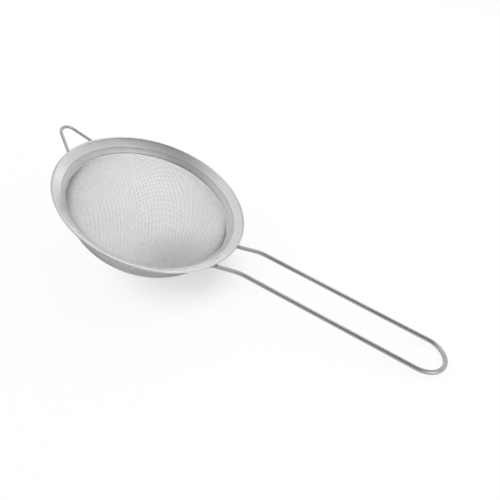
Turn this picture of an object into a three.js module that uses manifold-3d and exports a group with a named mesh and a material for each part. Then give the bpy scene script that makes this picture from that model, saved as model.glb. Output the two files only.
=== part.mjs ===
// Round kitchen strainer: a woven wire bowl clamped into a pressed steel rim, with a looped wire
// handle on one side and a pointed wire hook on the other, which rests on the edge of a pan.
// It lies as it does on a worktop, on the side of its bowl and on the end of its handle.
import * as THREE from 'three';
import { mergeVertices } from 'three/addons/utils/BufferGeometryUtils.js';
import Module from 'manifold-3d';

const wasm = await Module();
wasm.setup();

// Driving dimensions, in millimetres and degrees. Slopes are measured from the plane of the lip.

// Rim: one pressed sheet ring with a hemmed lip, a sloping flange and a stepped seat for the mesh.
const rimDiameter = 140;
const rimSheet = 0.5;
const hemThickness = 1.2;
const hemWidth = 2.2;
const flangeSlope = 33.5;
const flangeSlant = 7.45;

// Clamp: a sheet hoop pressed down on the edge of the mesh, into the seat of the rim.
const clampSheet = 0.4;
const clampSlope = 40;
const clampSlant = 4.9;

// Bowl: woven wire cloth pressed to a round dish. A fullness of 2 is an ellipse, and more is boxier.
const bowlDepth = 46.3;
const bowlFullness = 2.1;
const meshThickness = 0.25;

// Openings: a plain grid laid on the flat cloth before it is pressed, much coarser than the weave that
// it stands for. The bowl stays whole for a small height above the worktop, round its resting flat.
const openingsAcross = 10;
const openingRib = 3.65;
const openingCut = 4;
const wholeHeight = 0.4;

// Handle: one wire, bent to a long loop, with a steep neck beside the rim.
const handleWire = 3;
const handleSpacing = 29.3;
const neckRise = 26.5;
const neckLength = 18.5;
const neckBend = 40;
const handleRise = 11.2;
const handleLength = 140.9;

// Hook: one thinner wire, bent to a point with a round tip.
const hookWire = 2.3;
const hookSpan = 25.3;
const hookRise = 18.4;
const hookReach = 19.4;
const hookTipBend = 6.5;

// Welds: one bead at the inner end of each wire, in the corner under the flange.
const weldLength = 2;
const weldWidth = 3.4;
const weldHeight = 2.2;

// Fits: the gap that seated pieces keep, the bend of a wire as it comes out from under the lip,
// and the depth of the flat where the bowl lies on the worktop.
const seatGap = 0.3;
const lipBend = 5;
const restFlatDepth = 0.1;

// Facets of the round shapes, and the distance within which two points of a wire are one.
const ringFacets = 52;
const bowlRings = 11;
const hemFacets = 6;
const wireFacets = 12;
const bendStep = 12;
const samePlace = 0.01;

const { cos, sin, tan, atan2, asin, hypot, sqrt, PI } = Math;
const flangeAngle = THREE.MathUtils.degToRad(flangeSlope);
const clampAngle = THREE.MathUtils.degToRad(clampSlope);

function steel(color, roughness) {
  return new THREE.MeshStandardMaterial({ color, roughness, metalness: 1 });
}

// Points of the rim's section, as radius and height. The flange and the clamp both run inwards and
// down from a starting point, and depth is measured square to them, from their upper faces.
function pointOnSlope(start, angle, slant, depth) {
  return new THREE.Vector2(
    start.x - slant * cos(angle) + depth * sin(angle),
    start.y - slant * sin(angle) - depth * cos(angle),
  );
}

// Slant at which a line at this depth reaches this radius.
function slantAtRadius(start, angle, radius, depth) {
  return (start.x + depth * sin(angle) - radius) / cos(angle);
}

const rimRadius = rimDiameter / 2;
const beadRadius = hemThickness / 2;
const beadCentre = new THREE.Vector2(rimRadius - beadRadius, -beadRadius);
const flangeStart = pointOnSlope(beadCentre, flangeAngle, 0, -beadRadius);
const crease = pointOnSlope(flangeStart, flangeAngle, flangeSlant, 0);

function onFlange(slant, depth) {
  return pointOnSlope(flangeStart, flangeAngle, slant, depth);
}

function onClamp(slant, depth) {
  return pointOnSlope(crease, clampAngle, slant, depth);
}

function onClampAtRadius(radius, depth) {
  return onClamp(slantAtRadius(crease, clampAngle, radius, depth), depth);
}

// Layers of the seat, from the upper face of the clamp down.
const meshTopDepth = clampSheet + seatGap;
const meshBottomDepth = meshTopDepth + meshThickness;
const seatDepth = meshBottomDepth + seatGap;
const skirtDepth = seatDepth + rimSheet;

const stepRadius = crease.x;
const stepOuterRadius = stepRadius + rimSheet;
const bowlRadius = onClamp(clampSlant, 0).x + meshThickness;

// A closed section, given anticlockwise, turned round the bowl's axis.
function turned(section) {
  return new THREE.LatheGeometry(section, ringFacets).rotateX(PI / 2);
}

function rimGeometry() {
  const hemEdge = onFlange(hemWidth, hemThickness);
  const section = [hemEdge];
  for (let i = 0; i <= hemFacets; i += 1) {
    const angle = flangeAngle - PI / 2 + (PI * i) / hemFacets;
    section.push(new THREE.Vector2(
      beadCentre.x + beadRadius * cos(angle),
      beadCentre.y + beadRadius * sin(angle),
    ));
  }
  const skirtEnd = slantAtRadius(crease, clampAngle, bowlRadius + seatGap, seatDepth);
  const flangeEnd = slantAtRadius(flangeStart, flangeAngle, stepOuterRadius, rimSheet);
  section.push(
    crease,
    onClampAtRadius(stepRadius, seatDepth),
    onClamp(skirtEnd, seatDepth),
    onClamp(skirtEnd, skirtDepth),
    onClampAtRadius(stepOuterRadius, skirtDepth),
    onFlange(flangeEnd, rimSheet),
    onFlange(hemWidth, rimSheet),
    hemEdge,
  );
  return turned(section);
}

function clampGeometry() {
  const upperEdge = slantAtRadius(crease, clampAngle, stepRadius - seatGap, clampSheet);
  const section = [
    onClamp(upperEdge, clampSheet),
    onClamp(upperEdge, 0),
    onClamp(clampSlant, 0),
    onClamp(clampSlant, clampSheet),
    onClamp(upperEdge, clampSheet),
  ];
  return turned(section);
}

// The outside of the bowl is a superellipse hung from its mouth, where the mesh turns out into the seat.
const bowlMouth = onClampAtRadius(bowlRadius, meshBottomDepth).y;
const bowlDrop = bowlDepth + bowlMouth;

function bowlPoint(step, inset) {
  const turn = (PI / 2) * (step / bowlRings);
  const power = 2 / bowlFullness;
  return new THREE.Vector2(
    (bowlRadius - inset) * sin(turn) ** power,
    bowlMouth - (bowlDrop - inset) * Math.max(0, cos(turn)) ** power,
  );
}

function bowlGeometry() {
  const section = [];
  for (let i = 0; i <= bowlRings; i += 1) {
    section.push(bowlPoint(i, 0));
  }
  const meshEdge = slantAtRadius(crease, clampAngle, stepRadius - seatGap, meshBottomDepth);
  section.push(
    onClamp(meshEdge, meshBottomDepth),
    onClamp(meshEdge, meshTopDepth),
    onClampAtRadius(bowlRadius - meshThickness, meshTopDepth),
  );
  for (let i = bowlRings; i >= 0; i -= 1) {
    section.push(bowlPoint(i, meshThickness));
  }
  return turned(section);
}

// A wire follows straight runs between its corners, with a round bend at each inner corner. Each
// corner holds its point and the radius of its bend.
function bentPath(corners) {
  const stations = [corners[0].point];
  for (let i = 1; i < corners.length - 1; i += 1) {
    const { point, bend } = corners[i];
    const back = corners[i - 1].point.clone().sub(point).normalize();
    const ahead = corners[i + 1].point.clone().sub(point).normalize();
    const half = back.angleTo(ahead) / 2;
    const centre = back.clone().add(ahead).setLength(bend / sin(half)).add(point);
    const arm = back.clone().multiplyScalar(bend / tan(half)).add(point).sub(centre);
    const axis = ahead.clone().cross(back).normalize();
    const turn = PI - 2 * half;
    const steps = Math.ceil(turn / THREE.MathUtils.degToRad(bendStep));
    for (let k = 0; k <= steps; k += 1) {
      const station = arm.clone().applyAxisAngle(axis, (turn * k) / steps).add(centre);
      if (station.distanceTo(stations.at(-1)) > samePlace) {
        stations.push(station);
      }
    }
  }
  stations.push(corners.at(-1).point);
  return stations;
}

// Curve through the stations that puts one section at each of them.
class WirePath extends THREE.Curve {
  constructor(stations) {
    super();
    this.stations = stations;
  }

  getPoint(t, target = new THREE.Vector3()) {
    const place = t * (this.stations.length - 1);
    const index = Math.min(Math.floor(place), this.stations.length - 2);
    return target.lerpVectors(this.stations[index], this.stations[index + 1], place - index);
  }

  getUtoTmapping(u) {
    return u;
  }
}

function wireGeometry(corners, diameter) {
  const stations = bentPath(corners);
  const outline = [];
  for (let i = 0; i < wireFacets; i += 1) {
    const angle = (2 * PI * i) / wireFacets;
    outline.push(new THREE.Vector2(cos(angle), sin(angle)).multiplyScalar(diameter / 2));
  }
  return new THREE.ExtrudeGeometry(new THREE.Shape(outline), {
    steps: stations.length - 1,
    extrudePath: new WirePath(stations),
  });
}

// Height of a line that runs under the flange at this depth, above the plan point x, y.
function heightUnderFlange(x, y, depth) {
  const slant = slantAtRadius(flangeStart, flangeAngle, hypot(x, y), depth);
  return onFlange(slant, depth).y;
}

// Each wire runs under the hem and ends where its weld begins, short of the step in the rim.
const rootEndRadius = stepOuterRadius + weldLength + 2 * seatGap;

function wireDepth(diameter) {
  return hemThickness + seatGap + diameter / 2;
}

function rootPoint(x, y, diameter) {
  return new THREE.Vector3(x, y, heightUnderFlange(x, y, wireDepth(diameter)));
}

// Direction in the plane of the bowl's axis and the handle, rising outwards.
function rising(angle) {
  return new THREE.Vector3(cos(angle), 0, sin(angle));
}

// Corners of one handle leg from its weld out to the end of the loop. Side is 1 or -1.
function handleLeg(side) {
  const half = handleSpacing / 2;
  const y = side * half;
  const root = rootPoint(sqrt(rootEndRadius ** 2 - half ** 2), y, handleWire);
  const lip = rootPoint(sqrt(rimRadius ** 2 - half ** 2), y, handleWire);
  const neck = rising(THREE.MathUtils.degToRad(neckRise)).multiplyScalar(neckLength).add(lip);
  const end = rising(THREE.MathUtils.degToRad(handleRise)).multiplyScalar(handleLength).add(neck);
  return [
    { point: root, bend: 0 },
    { point: lip, bend: lipBend },
    { point: neck, bend: neckBend },
    { point: end, bend: half },
  ];
}

// Hook: two legs that touch a circle round the tip, in a plane that rises away from the rim.
const hookAngle = THREE.MathUtils.degToRad(hookRise);
const hookHalf = hookSpan / 2;
const hookTipCentre = hookReach - hookTipBend;
const hookLegAngle = atan2(hookHalf, hookTipCentre) - asin(hookTipBend / hypot(hookTipCentre, hookHalf));
const hookLip = rootPoint(-sqrt(rimRadius ** 2 - hookHalf ** 2), hookHalf, hookWire);

function hookPoint(reach, y) {
  return new THREE.Vector3(hookLip.x - reach * cos(hookAngle), y, hookLip.z + reach * sin(hookAngle));
}

// The root of a hook leg carries on in plan from its straight run, in to the radius of its weld.
function hookLeg(side) {
  const lip = hookPoint(0, side * hookHalf);
  const inwards = new THREE.Vector2(cos(hookLegAngle) * cos(hookAngle), side * sin(hookLegAngle)).normalize();
  const plan = new THREE.Vector2(lip.x, lip.y);
  const along = plan.dot(inwards);
  const run = -along - sqrt(along ** 2 - plan.lengthSq() + rootEndRadius ** 2);
  plan.addScaledVector(inwards, run);
  return [
    { point: rootPoint(plan.x, plan.y, hookWire), bend: 0 },
    { point: lip, bend: lipBend },
  ];
}

// A weld bead lies in line with the root of its wire, against its end face and the flange above.
function weldMesh(name, leg, diameter, material) {
  const along = leg[0].point.clone().sub(leg[1].point).normalize();
  const across = new THREE.Vector3(0, 0, 1).cross(along).normalize();
  const up = along.clone().cross(across);
  const weldDepth = rimSheet + seatGap + weldHeight / 2;
  const place = leg[0].point.clone();
  place.addScaledVector(along, weldLength / 2 + seatGap);
  place.addScaledVector(up, wireDepth(diameter) - weldDepth);
  const bead = new THREE.SphereGeometry(0.5, wireFacets, wireFacets / 2);
  bead.scale(weldLength, weldWidth, weldHeight);
  const mesh = new THREE.Mesh(bead, material);
  mesh.name = name;
  mesh.position.copy(place);
  mesh.quaternion.setFromRotationMatrix(new THREE.Matrix4().makeBasis(along, across, up));
  return mesh;
}

// Heights along the worktop's upward direction, from the centre of the lip, when the strainer is
// tipped towards its handle.
function bowlLowest(tip) {
  const power = bowlFullness / (bowlFullness - 1);
  const reach = ((bowlRadius * sin(tip)) ** power + (bowlDrop * cos(tip)) ** power) ** (1 / power);
  return bowlMouth * cos(tip) - reach;
}

function heightWhenTipped(point, tip) {
  return point.z * cos(tip) - point.x * sin(tip);
}

function placeWhenTipped(point, tip) {
  return point.x * cos(tip) + point.z * sin(tip);
}

const handleLeft = handleLeg(1);
const handleRight = handleLeg(-1);
const hookLeft = hookLeg(1);
const hookRight = hookLeg(-1);
const handleEnd = handleLeft.at(-1).point;
const hookEnd = hookPoint(hookReach, 0);

// The tip at which the bowl's flat and the end of the handle touch the same worktop, found by
// halving the range from level to upright.
const tipHalvings = 40;

function restingTip() {
  let low = 0;
  let high = PI / 2;
  for (let i = 0; i < tipHalvings; i += 1) {
    const middle = (low + high) / 2;
    const handleLowest = heightWhenTipped(handleEnd, middle) - handleWire / 2;
    if (handleLowest > bowlLowest(middle) + restFlatDepth) {
      low = middle;
    } else {
      high = middle;
    }
  }
  return low;
}

const tip = restingTip();
const worktop = bowlLowest(tip) + restFlatDepth;

function toSolid(geometry) {
  const bare = geometry.clone();
  bare.deleteAttribute('normal');
  bare.deleteAttribute('uv');
  const merged = mergeVertices(bare);
  return new wasm.Manifold(new wasm.Mesh({
    numProp: 3,
    vertProperties: new Float32Array(merged.attributes.position.array),
    triVerts: new Uint32Array(merged.index.array),
  }));
}

function toGeometry(solid) {
  const { vertProperties, triVerts } = solid.getMesh();
  const geometry = new THREE.BufferGeometry();
  geometry.setAttribute('position', new THREE.BufferAttribute(vertProperties, 3));
  geometry.setIndex(new THREE.BufferAttribute(triVerts, 1));
  geometry.computeVertexNormals();
  return geometry;
}

// The outside of the bowl from its pole to its mouth, and the length of cloth that lies along it.
const bowlRun = new THREE.SplineCurve(Array.from({ length: bowlRings + 1 }, (_, i) => bowlPoint(i, 0)));
const clothReach = bowlRun.getLength();

// Where a point of the flat cloth comes to lie on the pressed bowl. Its distance from the pole is kept,
// and a point that would reach the mouth stays one rib short of it.
function pressedPoint(u, v) {
  const run = Math.min(hypot(u, v), clothReach - openingRib);
  const { x: radius, y: height } = bowlRun.getPointAt(run / clothReach);
  const angle = atan2(v, u);
  return new THREE.Vector3(radius * cos(angle), radius * sin(angle), height);
}

// A block through the cloth, square to it, with one opening of the grid as its outline.
function openingGeometry(corners) {
  const middle = new THREE.Vector3();
  for (const corner of corners) {
    middle.addScaledVector(corner, 1 / corners.length);
  }
  const across = corners[1].clone().sub(corners[0]).normalize();
  const outwards = corners[2].clone().sub(corners[0]).cross(corners[3].clone().sub(corners[1])).normalize();
  const along = outwards.clone().cross(across).normalize();
  across.crossVectors(along, outwards);
  const outline = corners.map((corner) => {
    const arm = corner.clone().sub(middle);
    return new THREE.Vector2(arm.dot(across), arm.dot(along));
  });
  const block = new THREE.ExtrudeGeometry(new THREE.Shape(outline), { depth: openingCut, bevelEnabled: false });
  block.translate(0, 0, -openingCut / 2);
  return block.applyMatrix4(new THREE.Matrix4().makeBasis(across, along, outwards).setPosition(middle));
}

// The openings of the grid whose middles lie on the bowl.
function openingGeometries() {
  const spacing = (2 * clothReach) / openingsAcross;
  const half = (spacing - openingRib) / 2;
  const blocks = [];
  for (let i = 0; i < openingsAcross; i += 1) {
    for (let j = 0; j < openingsAcross; j += 1) {
      const u = (i + 0.5 - openingsAcross / 2) * spacing;
      const v = (j + 0.5 - openingsAcross / 2) * spacing;
      if (hypot(u, v) < clothReach - openingRib) {
        blocks.push(openingGeometry([
          pressedPoint(u - half, v - half),
          pressedPoint(u + half, v - half),
          pressedPoint(u + half, v + half),
          pressedPoint(u - half, v + half),
        ]));
      }
    }
  }
  return blocks;
}

// The space below this height over the worktop.
function spaceBelow(height) {
  const block = new THREE.BoxGeometry(2 * rimDiameter, 2 * rimDiameter, bowlDepth);
  block.translate(0, 0, worktop + height - bowlDepth / 2);
  return toSolid(block.rotateY(-tip));
}

// The bowl with its resting flat cut by the worktop, and with its openings, which end short of the flat.
function restingBowlGeometry() {
  let bowl = toSolid(bowlGeometry()).subtract(spaceBelow(0));
  for (const block of openingGeometries()) {
    bowl = bowl.subtract(toSolid(block).subtract(spaceBelow(wholeHeight)));
  }
  return toGeometry(bowl);
}

function named(name, geometry, material) {
  const mesh = new THREE.Mesh(geometry, material);
  mesh.name = name;
  return mesh;
}

const hookApex = { point: hookPoint(hookHalf / tan(hookLegAngle), 0), bend: hookTipBend };
const handleCorners = [...handleLeft, ...handleRight.toReversed()];
const hookCorners = [...hookLeft, hookApex, ...hookRight.toReversed()];

const strainer = new THREE.Group();
strainer.add(
  named('rim_ring', rimGeometry(), steel(0xcfd0d1, 0.28)),
  named('mesh_clamp_ring', clampGeometry(), steel(0xc4c5c6, 0.32)),
  named('mesh_bowl', restingBowlGeometry(), steel(0xc8c9ca, 0.38)),
  named('handle_wire', wireGeometry(handleCorners, handleWire), steel(0xbdbebf, 0.25)),
  named('hook_wire', wireGeometry(hookCorners, hookWire), steel(0xbdbebf, 0.25)),
  weldMesh('handle_weld_left', handleLeft, handleWire, steel(0x8d8c89, 0.5)),
  weldMesh('handle_weld_right', handleRight, handleWire, steel(0x8d8c89, 0.5)),
  weldMesh('hook_weld_left', hookLeft, hookWire, steel(0x8d8c89, 0.5)),
  weldMesh('hook_weld_right', hookRight, hookWire, steel(0x8d8c89, 0.5)),
);
strainer.rotation.y = tip;
const farEnd = placeWhenTipped(handleEnd, tip) + handleWire / 2;
const nearEnd = placeWhenTipped(hookEnd, tip) - hookWire / 2;
strainer.position.set(-(farEnd + nearEnd) / 2, 0, -worktop);

const model = new THREE.Group();
model.add(strainer);

export default model;
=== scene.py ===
import math
import bpy
import numpy as np
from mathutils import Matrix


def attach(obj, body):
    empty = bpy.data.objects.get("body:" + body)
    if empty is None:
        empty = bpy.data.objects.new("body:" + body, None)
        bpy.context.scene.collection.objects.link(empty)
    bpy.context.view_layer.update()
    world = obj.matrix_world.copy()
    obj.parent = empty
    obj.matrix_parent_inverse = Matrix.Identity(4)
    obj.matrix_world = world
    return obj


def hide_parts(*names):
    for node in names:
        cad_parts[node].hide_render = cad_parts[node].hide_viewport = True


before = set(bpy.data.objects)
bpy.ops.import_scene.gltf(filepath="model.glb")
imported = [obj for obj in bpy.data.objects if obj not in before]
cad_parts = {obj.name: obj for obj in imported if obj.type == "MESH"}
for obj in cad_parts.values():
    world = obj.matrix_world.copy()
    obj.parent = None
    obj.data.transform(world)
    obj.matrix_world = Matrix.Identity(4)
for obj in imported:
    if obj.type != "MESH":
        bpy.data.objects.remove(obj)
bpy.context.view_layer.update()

# Lie of the strainer
# On a worktop it tips over towards its handle. Each piece is shaped upright here, with its lip at
# height zero and its handle along x, and is then laid on the rim's own axis, which the frame gives.
rim_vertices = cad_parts["rim_ring"].data.vertices
rim_points = np.empty(3 * len(rim_vertices), np.float32)
rim_vertices.foreach_get("co", rim_points)
rim_points = rim_points.reshape(-1, 3).astype(float)
lip_axis = np.linalg.svd(rim_points - rim_points.mean(axis=0), full_matrices=False)[2][2]
lip_axis = lip_axis * np.sign(lip_axis[2])
across = np.array([0.0, 1.0, 0.0])
own_axes = np.array([np.cross(across, lip_axis), across, lip_axis])
own_low = (rim_points @ own_axes.T).min(axis=0)
own_high = (rim_points @ own_axes.T).max(axis=0)
lip_centre = np.array([(own_low[0] + own_high[0]) / 2, 0.0, own_high[2]])


def laid(points):
    """Upright points, moved to the centre of the lip and turned to the rim's own axes."""
    return (points + lip_centre) @ own_axes


# Rim ring
# One ring pressed from bright stainless sheet. Its lip is hemmed over and its outer edge is rolled
# down. Its flange slopes in, and a step below the flange makes the seat for the edge of the mesh.
mm = 0.001
rim_radius = own_high[1]
rim_sheet = 0.5 * mm
hem_thickness = 1.2 * mm
hem_width = 2.2 * mm
flange_slope = math.radians(33.5)
flange_slant = 7.45 * mm
clamp_slope = math.radians(40)
seat_depth = 1.25 * mm
skirt_radius = 59.65 * mm
step_bend = 0.45 * mm
crease_bend = 0.45 * mm
edge_round = 0.12 * mm
rim_bend_steps = 7
ring_facets = 288

# Slant and depth of the corners of the rolled edge, from its foot up to the flange, and their bends.
lip_roll = np.array([[-0.66, 1.2], [-0.48, 0.5], [0.12, 0.13], [1.3, 0.0]]) * mm
lip_roll_bends = np.array([0.28, 0.8, 1.6, 8.0]) * mm


def on_slope(start, slope, slant, depth):
    """Section point of a sheet that runs in and down: slant along its face, depth square to it."""
    inwards = np.array([-math.cos(slope), -math.sin(slope)])
    below = np.array([math.sin(slope), -math.cos(slope)])
    return start + slant * inwards + depth * below


def slant_at(start, slope, radius, depth):
    """Slant at which a line at this depth under the sheet reaches this radius."""
    return (start[0] + depth * math.sin(slope) - radius) / math.cos(slope)


def rounded(corners, bends, steps):
    """Closed outline with an arc in each corner. The arc's centre lies on the corner's bisector, at
    bend / sin(half the corner's angle), and the arc sweeps what is left of a half turn."""
    corners = np.asarray(corners)
    back = np.roll(corners, 1, axis=0) - corners
    ahead = np.roll(corners, -1, axis=0) - corners
    back /= np.linalg.norm(back, axis=1, keepdims=True)
    ahead /= np.linalg.norm(ahead, axis=1, keepdims=True)
    half = np.arccos(np.sum(back * ahead, axis=1)) / 2
    inner = (back + ahead) / (2 * np.cos(half))[:, None]
    along = (ahead - back) / (2 * np.sin(half))[:, None]
    bends = np.broadcast_to(bends, len(corners))
    centres = corners + inner * (bends / np.sin(half))[:, None]
    sweep = (math.pi / 2 - half)[:, None] * np.linspace(-1, 1, steps)
    arm = along[:, None] * np.sin(sweep)[..., None] - inner[:, None] * np.cos(sweep)[..., None]
    return centres[:, None] + bends[:, None, None] * arm


def turned(section, facets):
    """Section of radius and height, carried round the bowl's axis: one strip of stations by points."""
    turn = np.arange(facets) * 2 * math.pi / facets
    radius, height = section.T
    x = np.cos(turn)[:, None] * radius
    y = np.sin(turn)[:, None] * radius
    return np.stack([x, y, np.broadcast_to(height, x.shape)], axis=-1)[None]


def skin(name, grid, ring=False):
    """Mesh over strips by stations by section points. Each section closes on itself. The stations
    close too on a ring, and otherwise each end gets a cap. The UV map is in metres, along the
    stations and round the section."""
    strips, stations, sides, _ = grid.shape
    steps = stations if ring else stations - 1
    along = np.linalg.norm(np.diff(grid[:, :, 0], axis=1, append=grid[:, :1, 0]), axis=-1)
    along = np.pad(np.cumsum(along, axis=1), ((0, 0), (1, 0)))
    around = np.linalg.norm(np.diff(grid[0, 0], axis=0, append=grid[0, 0, :1]), axis=-1)
    around = np.pad(np.cumsum(around), (1, 0))

    strip, step, side = np.indices((strips, steps, sides)).reshape(3, -1)
    strip = np.stack([strip] * 4, axis=1)
    step = np.stack([step, step + 1, step + 1, step], axis=1)
    side = np.stack([side, side, side + 1, side + 1], axis=1)
    if not ring:
        fan = np.arange(1, sides - 2, 2)
        fan = np.stack([0 * fan, fan, fan + 1, fan + 2], axis=1)
        owner = np.repeat(np.arange(strips), len(fan))
        fans = np.tile(fan, (strips, 1))
        owners = np.stack([owner] * 4, axis=1)
        strip = np.concatenate([strip, owners, owners])
        step = np.concatenate([step, 0 * fans, 0 * fans + stations - 1])
        side = np.concatenate([side, fans, fans[:, ::-1]])
    faces = (strip * stations + step % stations) * sides + side % sides

    mesh = bpy.data.meshes.new(name)
    mesh.from_pydata(laid(grid.reshape(-1, 3)).tolist(), [], faces.tolist())
    uv = np.stack([along[strip, step], around[side]], axis=-1)
    mesh.uv_layers.new(name="run").uv.foreach_set("vector", uv.astype(np.float32).ravel())
    mesh.shade_smooth()
    piece = bpy.data.objects.new(name, mesh)
    bpy.context.collection.objects.link(piece)
    return piece


def linear(colour):
    """Linear RGBA of an sRGB hex colour."""
    srgb = np.array([int(colour[i:i + 2], 16) for i in (1, 3, 5)]) / 255
    light = np.where(srgb <= 0.04045, srgb / 12.92, ((srgb + 0.055) / 1.055) ** 2.4)
    return (*light.tolist(), 1.0)


def add_node(tree, kind, inputs, **options):
    """Adds a node, sets its options, and gives each of these inputs its value or its link."""
    made = tree.nodes.new(kind)
    for option, value in options.items():
        setattr(made, option, value)
    for socket, value in inputs.items():
        if isinstance(value, bpy.types.NodeSocket):
            tree.links.new(value, made.inputs[socket])
        else:
            made.inputs[socket].default_value = value
    return made


def worked_steel(name, pale, dark, gloss, streak, cloud, relief):
    """Steel with the marks of its making. Streaks of this length and width run along the piece's UV
    map, and clouds of this size lie over them. Both shift its colour and its gloss, and the streaks
    are raised by this relief."""
    material = bpy.data.materials.new(name)
    material.use_nodes = True
    tree = material.node_tree
    shader = tree.nodes["Principled BSDF"]
    shader.inputs["Metallic"].default_value = 1.0
    run = add_node(tree, "ShaderNodeUVMap", {}, uv_map="run")
    stretch = (1 / streak[0], 1 / streak[1], 1.0)
    drawn = add_node(tree, "ShaderNodeMapping", {"Vector": run.outputs["UV"], "Scale": stretch})
    streaks = add_node(
        tree, "ShaderNodeTexNoise",
        {"Vector": drawn.outputs["Vector"], "Scale": 1.0, "Detail": 3.0, "Roughness": 0.6},
        noise_dimensions="2D",
    )
    place = add_node(tree, "ShaderNodeTexCoord", {})
    clouds = add_node(
        tree, "ShaderNodeTexNoise",
        {"Vector": place.outputs["Object"], "Scale": 1 / cloud, "Detail": 2.0, "Roughness": 0.5},
    )
    worn = add_node(
        tree, "ShaderNodeMath",
        {0: streaks.outputs["Fac"], 1: clouds.outputs["Fac"]}, operation="ADD",
    )
    worn_span = {"Value": worn.outputs["Value"], "From Min": 0.6, "From Max": 1.4}
    tint = add_node(tree, "ShaderNodeMapRange", worn_span)
    colour = add_node(
        tree, "ShaderNodeMix",
        {"Factor": tint.outputs["Result"], "A": linear(dark), "B": linear(pale)},
        data_type="RGBA",
    )
    dullness = add_node(
        tree, "ShaderNodeMapRange", {**worn_span, "To Min": gloss[0], "To Max": gloss[1]},
    )
    tree.links.new(colour.outputs["Result"], shader.inputs["Base Color"])
    tree.links.new(dullness.outputs["Result"], shader.inputs["Roughness"])
    if relief:
        raised = add_node(
            tree, "ShaderNodeBump",
            {"Height": streaks.outputs["Fac"], "Strength": 1.0, "Distance": relief},
        )
        tree.links.new(raised.outputs["Normal"], shader.inputs["Normal"])
    return material


def fit(piece, material, slot, *nodes):
    """Finishes a piece: its material, and the solids that it stands for. The slot is not used."""
    piece.data.materials.append(material)
    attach(piece, "root")
    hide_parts(*nodes)


hem_middle = np.array([rim_radius - hem_thickness / 2, -hem_thickness / 2])
flange_start = on_slope(hem_middle, flange_slope, 0, -hem_thickness / 2)
crease = on_slope(flange_start, flange_slope, flange_slant, 0)
step_outer = crease[0] + rim_sheet
skirt_depth = seat_depth + rim_sheet
skirt_end = slant_at(crease, clamp_slope, skirt_radius, seat_depth)
step_foot = slant_at(crease, clamp_slope, crease[0], seat_depth)
skirt_top = slant_at(crease, clamp_slope, step_outer, skirt_depth)
flange_end = slant_at(flange_start, flange_slope, step_outer, rim_sheet)
rim_corners = [
    on_slope(flange_start, flange_slope, hem_width, hem_thickness),
    *[on_slope(flange_start, flange_slope, slant, depth) for slant, depth in lip_roll],
    crease,
    on_slope(crease, clamp_slope, step_foot, seat_depth),
    on_slope(crease, clamp_slope, skirt_end, seat_depth),
    on_slope(crease, clamp_slope, skirt_end, skirt_depth),
    on_slope(crease, clamp_slope, skirt_top, skirt_depth),
    on_slope(flange_start, flange_slope, flange_end, rim_sheet),
    on_slope(flange_start, flange_slope, hem_width, rim_sheet),
]
rim_bends = [
    edge_round, *lip_roll_bends, crease_bend, edge_round,
    edge_round, edge_round, step_bend, edge_round, edge_round,
]
rim_section = rounded(rim_corners, np.array(rim_bends), rim_bend_steps).reshape(-1, 2)
rim = skin("rim", turned(rim_section, ring_facets), ring=True)

# Bright rolled stainless sheet, spun against a fine abrasive, so hair lines run round the ring.
# They are far finer than the render can show, and are drawn as coarse as they need to be.
spun_stainless = worked_steel(
    "spun_stainless_sheet", "#d8d8d8", "#cdcdcd",
    gloss=(0.24, 0.32), streak=(40 * mm, 0.35 * mm), cloud=18 * mm, relief=0.0004 * mm,
)
fit(rim, spun_stainless, "rim_steel", "rim_ring")

# Mesh bowl
# One disc of plain-woven stainless wire, pressed to a bowl. Its cells keep their sides and shear into
# diamonds towards the rim. Its edge turns out into the seat, under the clamp ring.
bowl_depth = 46.3 * mm
bowl_radius = 59.35 * mm
bowl_mouth = 8.3 * mm
bowl_fullness = 2.1
cloth_pitch = 1.12 * mm
cloth_wire = 0.26 * mm
cloth_turn = math.radians(42)
cloth_edge_inset = 0.3 * mm
cloth_seat_depth = 0.88 * mm
mouth_bend = 1.6 * mm
floor_clearance = 0.1 * mm
profile_points = 2000
profile_spacing = 0.05 * mm
knot_steps = 3
newton_rounds = 8
spare_pitches = 4
cloth_sides = 6
bands_per_family = 5


def bowl_profile(spacing):
    """Radius and height of the cloth's middle by its run from the pole, at even spacing: a quarter
    superellipse, a straight run out along the seat, and a running mean that rounds the turn between."""
    inset = cloth_wire + floor_clearance
    turn = np.linspace(0, math.pi / 2, profile_points)
    power = 2 / bowl_fullness
    radius = (bowl_radius - inset) * np.sin(turn) ** power
    drop = bowl_depth - bowl_mouth - inset
    height = -bowl_mouth - drop * np.clip(np.cos(turn), 0, 1) ** power
    seat = [slant_at(crease, clamp_slope, r, cloth_seat_depth) for r in (radius[-1], 2 * rim_radius)]
    turn_out, far_edge = [on_slope(crease, clamp_slope, s, cloth_seat_depth) for s in seat]
    kept = height < turn_out[1]
    points = np.concatenate([np.stack([radius, height], axis=1)[kept], [turn_out, far_edge]])
    run = np.pad(np.cumsum(np.linalg.norm(np.diff(points, axis=0), axis=1)), (1, 0))
    even = np.arange(0, run[-1], spacing)
    window = int(mouth_bend / spacing)
    radius = np.interp(even, run, points[:, 0])
    height = np.interp(even, run, points[:, 1])
    radius = np.concatenate([-radius[window:0:-1], radius])
    height = np.concatenate([height[window:0:-1], height])
    mean = np.full(2 * (window // 2) + 1, 1.0)
    mean /= mean.sum()
    radius = np.convolve(radius, mean, mode="same")[window:-window]
    height = np.convolve(height, mean, mode="same")[window:-window]
    return even[:len(radius)], radius, height


profile_run, profile_radius, profile_height = bowl_profile(profile_spacing)
profile_lean = np.gradient(profile_radius, profile_spacing)
profile_climb = np.gradient(profile_height, profile_spacing)
cloth_edge = np.interp(crease[0] - cloth_edge_inset, profile_radius, profile_run)


def on_profile(values, run):
    """One of the profile's values at these runs from the pole."""
    return np.interp(run, profile_run, values)


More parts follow.
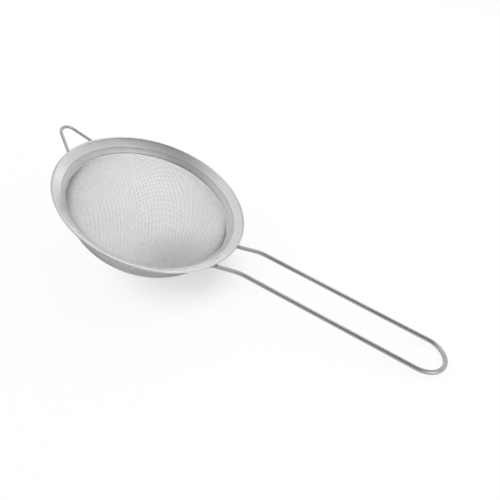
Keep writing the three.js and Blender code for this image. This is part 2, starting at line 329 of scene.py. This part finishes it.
def on_bowl(run, turn):
    """Point of the cloth's middle at this run from the pole and this turn about the axis."""
    radius = on_profile(profile_radius, run)
    height = on_profile(profile_height, run)
    return np.stack([radius * np.cos(turn), radius * np.sin(turn), height], axis=-1)


def pressed_net(side, count):
    """Run and turn of the knots of one quarter of the cloth. Two wires cross at the pole, along
    meridians. Every other knot lies one side away from the two knots before it, found by Newton's
    method on its run and turn, for a whole diagonal of knots at a time."""
    run = np.full((count, count), np.nan)
    turn = np.full((count, count), np.nan)
    run[0] = run[:, 0] = side * np.arange(count)
    turn[0] = math.pi / 2
    turn[:, 0] = 0.0
    for diagonal in range(2, 2 * count - 1):
        i = np.arange(max(1, diagonal - count + 1), min(diagonal, count))
        j = diagonal - i
        first = on_bowl(run[i - 1, j], turn[i - 1, j])
        second = on_bowl(run[i, j - 1], turn[i, j - 1])
        guess = first + second - on_bowl(run[i - 1, j - 1], turn[i - 1, j - 1])
        far = run[i - 1, j] + run[i, j - 1] - run[i - 1, j - 1]
        angle = np.arctan2(guess[:, 1], guess[:, 0])
        for _ in range(newton_rounds):
            point = on_bowl(far, angle)
            spoke = np.stack([np.cos(angle), np.sin(angle), 0 * angle], axis=-1)
            hoop = np.stack([-np.sin(angle), np.cos(angle), 0 * angle], axis=-1)
            lean = on_profile(profile_lean, far)
            climb = on_profile(profile_climb, far)
            outwards = spoke * lean[:, None] + np.array([0, 0, 1]) * climb[:, None]
            sideways = hoop * on_profile(profile_radius, far)[:, None]
            miss = [(np.sum((point - knot) ** 2, axis=1) - side ** 2) / 2 for knot in (first, second)]
            by_run = [np.sum((point - knot) * outwards, axis=1) for knot in (first, second)]
            by_turn = [np.sum((point - knot) * sideways, axis=1) for knot in (first, second)]
            scale = by_run[0] * by_turn[1] - by_run[1] * by_turn[0]
            far = far - (miss[0] * by_turn[1] - miss[1] * by_turn[0]) / scale
            angle = angle - (by_run[0] * miss[1] - by_run[1] * miss[0]) / scale
        inside = far < cloth_edge + spare_pitches * cloth_pitch
        run[i, j] = np.where(inside, far, np.nan)
        turn[i, j] = np.where(inside, angle, np.nan)
    return run, turn


net_side = cloth_pitch / knot_steps
net_run, net_turn = pressed_net(net_side, int(cloth_edge / net_side) + 3 * knot_steps)
net_point = on_bowl(net_run, net_turn)


def tube(path, up, radius, sides):
    """Round section carried along each path. Its rings stand square to the path, and start from the
    side that up points to."""
    ahead = np.gradient(path, axis=-2)
    ahead /= np.linalg.norm(ahead, axis=-1, keepdims=True)
    beside = np.cross(ahead, up)
    beside /= np.linalg.norm(beside, axis=-1, keepdims=True)
    lift = np.cross(beside, ahead)
    turn = np.arange(sides) * 2 * math.pi / sides
    ring = np.cos(turn)[:, None] * lift[..., None, :] - np.sin(turn)[:, None] * beside[..., None, :]
    return path[..., None, :] + radius * ring


def cloth_wires(order, weft):
    """Wires of these numbers from the middle of the cloth, as strips of rings. A wire follows a row
    of the net out to the cloth's edge on both sides, and swings up and down as it passes over and
    under the wires that cross it, by half a wire's thickness. The weft is the warp's mirror image."""
    row = np.abs(order) * knot_steps
    last = np.sum(net_run[row] <= cloth_edge, axis=1) - 1
    step = net_run[row, last + 1] - net_run[row, last]
    reach = last + (cloth_edge - net_run[row, last]) / step
    place = reach[:, None] * np.linspace(-1, 1, int(2 * reach.max()) + 1)
    before = np.floor(np.abs(place)).astype(int)
    past = np.abs(place) - before
    row = np.broadcast_to(row[:, None], place.shape)

    def between(values):
        """These values of the knots, blended from the knot before to the knot after."""
        share = past.reshape(past.shape + (1,) * (values.ndim - 2))
        return values[row, before] * (1 - share) + values[row, before + 1] * share

    run = between(net_run)
    side_of_row = np.where(order < 0, -1, 1)[:, None]
    side_of_place = np.where(place < 0, -1, 1)
    quarter = np.stack(np.broadcast_arrays(side_of_row, side_of_place, 1), axis=-1)
    path = between(net_point) * quarter
    spoke = path[..., :2] / np.maximum(np.hypot(path[..., 0], path[..., 1]), net_side)[..., None]
    up = np.concatenate([
        -on_profile(profile_climb, run)[..., None] * spoke,
        on_profile(profile_lean, run)[..., None],
    ], axis=-1)
    swing = np.where(order % 2 == 0, 1, -1)[:, None] * np.cos(math.pi * place / knot_steps)
    if weft:
        path, up, swing = path[..., [1, 0, 2]], up[..., [1, 0, 2]], -swing
    path = path + up * (cloth_wire / 2 * swing)[..., None]
    cosine, sine = math.cos(cloth_turn), math.sin(cloth_turn)
    spin = np.array([[cosine, sine, 0], [-sine, cosine, 0], [0, 0, 1]])
    return tube(path @ spin, up @ spin, cloth_wire / 2, cloth_sides)


# Bright drawn stainless wire: a crisp gleam on every crossing. Its die lines run along it, and are
# drawn coarser than they are.
woven_stainless = worked_steel(
    "woven_stainless_wire", "#c0c0c0", "#acacac",
    gloss=(0.22, 0.32), streak=(6 * mm, 0.15 * mm), cloud=12 * mm, relief=0,
)
wire_count = int(cloth_edge / cloth_pitch)
orders = np.arange(-wire_count, wire_count + 1)
for family, weft in (("warp", False), ("weft", True)):
    for band, orders_in_band in enumerate(np.array_split(orders, bands_per_family)):
        wires = skin(f"mesh_{family}_{band + 1}", cloth_wires(orders_in_band, weft))
        fit(wires, woven_stainless, "mesh_steel", "mesh_bowl")

# Clamp ring
# A hoop of plain steel sheet, pressed down on the edge of the mesh and into the seat of the rim.
# Only its sloping inner face shows, as a band between the flange and the mesh.
clamp_sheet = 0.4 * mm
clamp_slant = 4.9 * mm
clamp_gap = 0.02 * mm
clamp_sink = 0.25 * mm
clamp_foot = clamp_sink + clamp_sheet
clamp_roll = 0.1 * mm
clamp_bends = np.array([0.05, 0.06, 0.1, 0.05]) * mm
clamp_bend_steps = 6
clamp_outer = crease[0] - clamp_gap
clamp_back = slant_at(crease, clamp_slope, clamp_outer, clamp_foot)
clamp_front = slant_at(crease, clamp_slope, clamp_outer, clamp_sink)
clamp_corners = [
    on_slope(crease, clamp_slope, clamp_back, clamp_foot),
    on_slope(crease, clamp_slope, clamp_front, clamp_sink),
    on_slope(crease, clamp_slope, clamp_slant - clamp_roll, clamp_sink),
    on_slope(crease, clamp_slope, clamp_slant, clamp_foot),
]
clamp_section = rounded(clamp_corners, clamp_bends, clamp_bend_steps).reshape(-1, 2)
clamp = skin("clamp_ring", turned(clamp_section, ring_facets), ring=True)

# Plain rolled stainless sheet, duller than the rim. Its rolling marks run round the hoop, and are
# drawn coarser than they are.
rolled_stainless = worked_steel(
    "rolled_stainless_sheet", "#cacaca", "#bcbcbc",
    gloss=(0.34, 0.44), streak=(18 * mm, 0.4 * mm), cloud=9 * mm, relief=0.0005 * mm,
)
fit(clamp, rolled_stainless, "clamp_steel", "mesh_clamp_ring")

# Handle wire
# One drawn steel wire, bent to a long loop. Both ends run under the lip, and the neck beside the rim
# rises more steeply than the grip.
handle_wire = 3.0 * mm
handle_spacing = 29.3 * mm
neck_rise = math.radians(26.5)
neck_length = 18.5 * mm
neck_bend = 40 * mm
handle_rise = math.radians(11.2)
handle_length = 140.9 * mm
lip_bend = 5 * mm
seat_gap = 0.3 * mm
weld_length = 2 * mm
wire_sides = 24
bend_steps = 24
same_point = 0.01 * mm
root_radius = step_outer + weld_length + 2 * seat_gap


def under_flange(x, y, wire):
    """Point of a wire's middle that runs under the hem, below the plan point x, y."""
    depth = hem_thickness + seat_gap + wire / 2
    slant = slant_at(flange_start, flange_slope, math.hypot(x, y), depth)
    return np.array([x, y, on_slope(flange_start, flange_slope, slant, depth)[1]])


def bent(corners, bends):
    """Open path through corners, with an arc in each corner but the first and the last. Where two arcs
    meet, their ends are one point."""
    arcs = rounded(corners, np.array([mm, *bends, mm]), bend_steps)[1:-1]
    path = np.concatenate([corners[:1], arcs.reshape(-1, 3), corners[-1:]])
    apart = np.linalg.norm(np.diff(path, axis=0), axis=1) > same_point
    return path[np.append(True, apart)]


def wire_skin(name, path, wire):
    """Round wire along one path that never runs straight up."""
    up = np.broadcast_to([0.0, 0.0, 1.0], path.shape)
    return skin(name, tube(path, up, wire / 2, wire_sides)[None])


# The two arcs of the loop's end fill its width but for a hair, so that they meet and don't cross.
half_spacing = handle_spacing / 2
loop_bend = half_spacing * 0.9999
handle_root = under_flange(math.sqrt(root_radius ** 2 - half_spacing ** 2), half_spacing, handle_wire)
handle_lip = under_flange(math.sqrt(rim_radius ** 2 - half_spacing ** 2), half_spacing, handle_wire)
neck = handle_lip + neck_length * np.array([math.cos(neck_rise), 0, math.sin(neck_rise)])
grip_end = neck + handle_length * np.array([math.cos(handle_rise), 0, math.sin(handle_rise)])
handle_leg = np.array([handle_root, handle_lip, neck, grip_end])
handle_bends = [lip_bend, neck_bend, loop_bend]
mirror = np.array([1, -1, 1])
handle_corners = np.concatenate([handle_leg, handle_leg[::-1] * mirror])
handle = wire_skin("handle", bent(handle_corners, handle_bends + handle_bends[::-1]), handle_wire)

# Bright drawn steel wire, polished after bending: long gleams and dark cores. Its die lines run along
# it, and are drawn coarser than they are.
polished_wire = worked_steel(
    "polished_drawn_wire", "#bababa", "#a6a6a6",
    gloss=(0.24, 0.32), streak=(40 * mm, 0.3 * mm), cloud=25 * mm, relief=0.001 * mm,
)
fit(handle, polished_wire, "wire_steel", "handle_wire")

# Hook wire
# A thinner wire of the same kind, bent to a point with a round tip and welded under the lip opposite
# the handle. It rests on the far edge of a pan.
hook_wire = 2.3 * mm
hook_half = 12.65 * mm
hook_rise = math.radians(18.4)
hook_reach = 19.4 * mm
hook_tip_bend = 6.5 * mm
hook_lip = under_flange(-math.sqrt(rim_radius ** 2 - hook_half ** 2), hook_half, hook_wire)
tip_centre = hook_reach - hook_tip_bend
tip_distance = math.hypot(tip_centre, hook_half)
leg_angle = math.atan2(hook_half, tip_centre) - math.asin(hook_tip_bend / tip_distance)
hook_out = np.array([-math.cos(hook_rise), 0, math.sin(hook_rise)])
hook_apex = hook_lip * np.array([1, 0, 1]) + hook_half / math.tan(leg_angle) * hook_out

# In plan each leg runs straight on under the flange, until it reaches the radius of the wires' roots.
leg_inwards = np.array([math.cos(leg_angle) * math.cos(hook_rise), math.sin(leg_angle)])
leg_inwards /= np.linalg.norm(leg_inwards)
lip_along = hook_lip[:2] @ leg_inwards
root_run = -lip_along - math.sqrt(lip_along ** 2 - hook_lip[:2] @ hook_lip[:2] + root_radius ** 2)
hook_root = under_flange(*(hook_lip[:2] + root_run * leg_inwards), hook_wire)
hook_leg = np.array([hook_root, hook_lip])
hook_corners = np.concatenate([hook_leg, [hook_apex], hook_leg[::-1] * mirror])
hook = wire_skin("hook", bent(hook_corners, [lip_bend, hook_tip_bend, lip_bend]), hook_wire)
fit(hook, polished_wire, "wire_steel", "hook_wire")

# Weld beads
# A bead of melted steel at the inner end of each wire, in the corner under the flange. It runs onto
# the wire and the sheet, and its skin is rippled and dull.
bead_length = 4.2 * mm
bead_width = 3.6 * mm
bead_height = 2.6 * mm
bead_lift = 0.35 * mm
bead_end = 0.06
bead_rings = 40
bead_sides = 32
ripple_spacing = 0.55 * mm
ripple_height = 0.05 * mm


def weld_bead(name, root, lip):
    """Ellipsoid along the root of a wire, with rings of ripples across its length. It is cut off
    square just short of each pole, and capped."""
    ahead = (root - lip) / np.linalg.norm(root - lip)
    beside = np.cross([0.0, 0.0, 1.0], ahead)
    beside /= np.linalg.norm(beside)
    lift = np.cross(ahead, beside)
    swing = np.linspace(bead_end, math.pi - bead_end, bead_rings)[:, None]
    turn = np.arange(bead_sides) * 2 * math.pi / bead_sides
    length = -bead_length / 2 * np.cos(swing) + 0 * turn
    ripple = ripple_height / bead_height * np.cos(2 * math.pi * length / ripple_spacing)
    swell = np.sin(swing) * (1 + ripple)
    grid = root + lift * bead_lift + length[..., None] * ahead
    grid = grid + (swell * np.cos(turn))[..., None] * bead_height / 2 * lift
    grid = grid + (swell * np.sin(turn))[..., None] * bead_width / 2 * beside
    return skin(name, grid[None])


# Weld metal left as it froze: dull, uneven and darkened by heat.
weld_steel = worked_steel(
    "dull_weld_steel", "#8f8d89", "#5f5c58",
    gloss=(0.40, 0.60), streak=(0.8 * mm, 0.8 * mm), cloud=2 * mm, relief=0.02 * mm,
)
for wire_name, leg in (("handle", handle_leg), ("hook", hook_leg)):
    for hand, flip in (("left", np.ones(3)), ("right", mirror)):
        weld = weld_bead(f"{wire_name}_weld_{hand}_bead", leg[0] * flip, leg[1] * flip)
        fit(weld, weld_steel, "weld_steel", f"{wire_name}_weld_{hand}")

# Studio
# A white surround, a floor of white paper and four broad soft lamps. Camera and mirror rays see the
# paper nearly white. Under the bowl it keeps more of its lit shade, and farther out a part of it, so
# that the strainer's shadow shows.
scene = bpy.context.scene
scene.view_settings.view_transform = "Standard"
floor_half = 4.0
floor_whiteness = 0.85
shade_whiteness = 0.25
shade_centre = (-0.045, 0, 0)
shade_reach = (10 * mm, 65 * mm)

world = bpy.data.worlds.new("white_surround")
scene.world = world
world.use_nodes = True
tree = world.node_tree
tree.nodes.clear()
surround = add_node(tree, "ShaderNodeBackground", {"Color": linear("#ffffff"), "Strength": 1.0})
add_node(tree, "ShaderNodeOutputWorld", {"Surface": surround.outputs["Background"]})

paper = bpy.data.materials.new("white_paper")
paper.use_nodes = True
tree = paper.node_tree
tree.nodes.clear()
lit = add_node(tree, "ShaderNodeBsdfDiffuse", {"Color": linear("#f4f4f4")})
glow = add_node(tree, "ShaderNodeEmission", {"Color": linear("#ffffff"), "Strength": 1.0})
rays = add_node(tree, "ShaderNodeLightPath", {})
direct = add_node(
    tree, "ShaderNodeMath",
    {0: rays.outputs["Is Camera Ray"], 1: rays.outputs["Is Glossy Ray"]}, operation="MAXIMUM",
)
seen = add_node(
    tree, "ShaderNodeMath",
    {0: direct.outputs["Value"], 1: rays.outputs["Is Transmission Ray"]}, operation="MAXIMUM",
)
place = add_node(tree, "ShaderNodeTexCoord", {})
away = add_node(
    tree, "ShaderNodeVectorMath", {0: place.outputs["Object"], 1: shade_centre}, operation="DISTANCE",
)
whiteness = add_node(
    tree, "ShaderNodeMapRange",
    {"Value": away.outputs["Value"], "From Min": shade_reach[0], "From Max": shade_reach[1],
     "To Min": shade_whiteness, "To Max": floor_whiteness},
    interpolation_type="SMOOTHSTEP",
)
whiter = add_node(
    tree, "ShaderNodeMath",
    {0: seen.outputs["Value"], 1: whiteness.outputs["Result"]}, operation="MULTIPLY",
)
sheet = add_node(
    tree, "ShaderNodeMixShader",
    {0: whiter.outputs["Value"], 1: lit.outputs["BSDF"], 2: glow.outputs["Emission"]},
)
add_node(tree, "ShaderNodeOutputMaterial", {"Surface": sheet.outputs["Shader"]})
floor_mesh = bpy.data.meshes.new("floor")
floor_corners = floor_half * np.array([[-1, -1, 0], [1, -1, 0], [1, 1, 0], [-1, 1, 0]])
floor_mesh.from_pydata(floor_corners.tolist(), [], [[0, 1, 2, 3]])
floor_mesh.materials.append(paper)
floor = bpy.data.objects.new("floor", floor_mesh)
bpy.context.collection.objects.link(floor)


def aimed(place, target, roll=0.0):
    """Turn and place of a lamp or camera that looks from place to target, with its top up."""
    place, target = np.asarray(place, float), np.asarray(target, float)
    back = (place - target) / np.linalg.norm(place - target)
    right = np.cross([0.0, 0.0, 1.0], back)
    right /= np.linalg.norm(right)
    top = np.cross(back, right)
    cosine, sine = math.cos(roll), math.sin(roll)
    matrix = np.eye(4)
    matrix[:3, 0] = cosine * right + sine * top
    matrix[:3, 1] = cosine * top - sine * right
    matrix[:3, 2] = back
    matrix[:3, 3] = place
    return matrix.T.tolist()


def softbox(name, place, width, height, power):
    """Broad rectangular lamp, aimed at the strainer's middle."""
    lamp = bpy.data.lights.new(name, "AREA")
    lamp.shape = "RECTANGLE"
    lamp.size = width
    lamp.size_y = height
    lamp.energy = power
    holder = bpy.data.objects.new(name, lamp)
    holder.matrix_world = aimed(place, (0, 0, 0))
    bpy.context.collection.objects.link(holder)


softbox("softbox_back", (-0.78, 1.25, 0.24), width=0.6, height=0.44, power=1.15)
softbox("softbox_far", (0.22, 1.23, 0.44), width=0.5, height=0.26, power=0.2)
softbox("softbox_right", (1.15, -0.25, 0.4), width=0.5, height=0.45, power=1.4)
softbox("softbox_top", (0.13, 0.5, 0.9), width=0.4, height=0.3, power=0.8)

# Flags
# Grey cloths with soft edges, as on a set for bright metal, that only mirror rays see. The ones
# overhead and far off shade the flange, the ones by the camera draw the dark cores of the wires,
# the high one draws the dark edge of the lip, and the one on the floor dims the paper's gleam.
flag_thickening = 1.25


def flag(name, shade, centre, across, up):
    """Flat cloth of this shade that reaches out from its centre by across to each side, and by up to
    its top and its foot. Its UV map runs from -1 to 1 over it. It thins out to the rim of an oval,
    by one less the distance from the middle, thickened and held at full cover."""
    cloth = bpy.data.materials.new(f"{name}_cloth")
    cloth.use_nodes = True
    tree = cloth.node_tree
    tree.nodes.clear()
    spread = add_node(tree, "ShaderNodeUVMap", {}, uv_map="spread")
    oval = add_node(
        tree, "ShaderNodeTexGradient", {"Vector": spread.outputs["UV"]}, gradient_type="SPHERICAL",
    )
    cover = add_node(
        tree, "ShaderNodeMath",
        {0: oval.outputs["Fac"], 1: flag_thickening}, operation="MULTIPLY", use_clamp=True,
    )
    grey = add_node(tree, "ShaderNodeEmission", {"Color": linear(shade), "Strength": 1.0})
    clear = add_node(tree, "ShaderNodeBsdfTransparent", {})
    net = add_node(
        tree, "ShaderNodeMixShader",
        {0: cover.outputs["Value"], 1: clear.outputs["BSDF"], 2: grey.outputs["Emission"]},
    )
    add_node(tree, "ShaderNodeOutputMaterial", {"Surface": net.outputs["Shader"]})
    signs = np.array([[-1, -1], [1, -1], [1, 1], [-1, 1]])
    corners = np.array(centre) + signs @ np.array([across, up])
    mesh = bpy.data.meshes.new(name)
    mesh.from_pydata(corners.tolist(), [], [[0, 1, 2, 3]])
    mesh.uv_layers.new(name="spread").uv.foreach_set("vector", signs.astype(np.float32).ravel())
    mesh.materials.append(cloth)
    card = bpy.data.objects.new(name, mesh)
    card.visible_camera = False
    card.visible_diffuse = False
    card.visible_shadow = False
    bpy.context.collection.objects.link(card)


flag("flag_overhead", "#595959", (0.47, 0.32, 1.05), (0.57, 1.03, 0), (0.44, -0.46, 0))
flag("flag_round_camera", "#484848", (0.05, -0.76, 0.58), (0.8, 0, 0), (0, 0.42, 0.54))
flag("flag_right", "#404040", (0.49, -0.71, 0.39), (0.25, 0.21, 0), (-0.07, 0.08, 0.3))
flag("flag_on_floor", "#b4b4b4", (0.1, -0.55, 0.001), (1.0, 0, 0), (0, 0.65, 0))
flag("flag_high", "#383838", (-0.22, 0.67, 1.03), (0.44, 0.10, 0), (0.06, -0.26, 0.19))
flag("flag_far", "#d2d2d2", (0.51, 1.01, 0.34), (-0.38, 0.22, 0), (0, 0, 0.33))

# Camera
# A short lens close by, as in the photograph. It stands to one side of the handle, looks down across
# the bowl, and is rolled a little.
camera_place = (0.1521, -0.2764, 0.2418)
camera_target = (-0.0130, 0.0460, 0.0)
camera_roll = math.radians(3.85)
camera_data = bpy.data.cameras.new("camera")
camera_data.sensor_width = 36
camera_data.lens = 39.6
camera_data.clip_start = 0.01
camera = bpy.data.objects.new("camera", camera_data)
camera.matrix_world = aimed(camera_place, camera_target, camera_roll)
bpy.context.collection.objects.link(camera)
scene.camera = camera
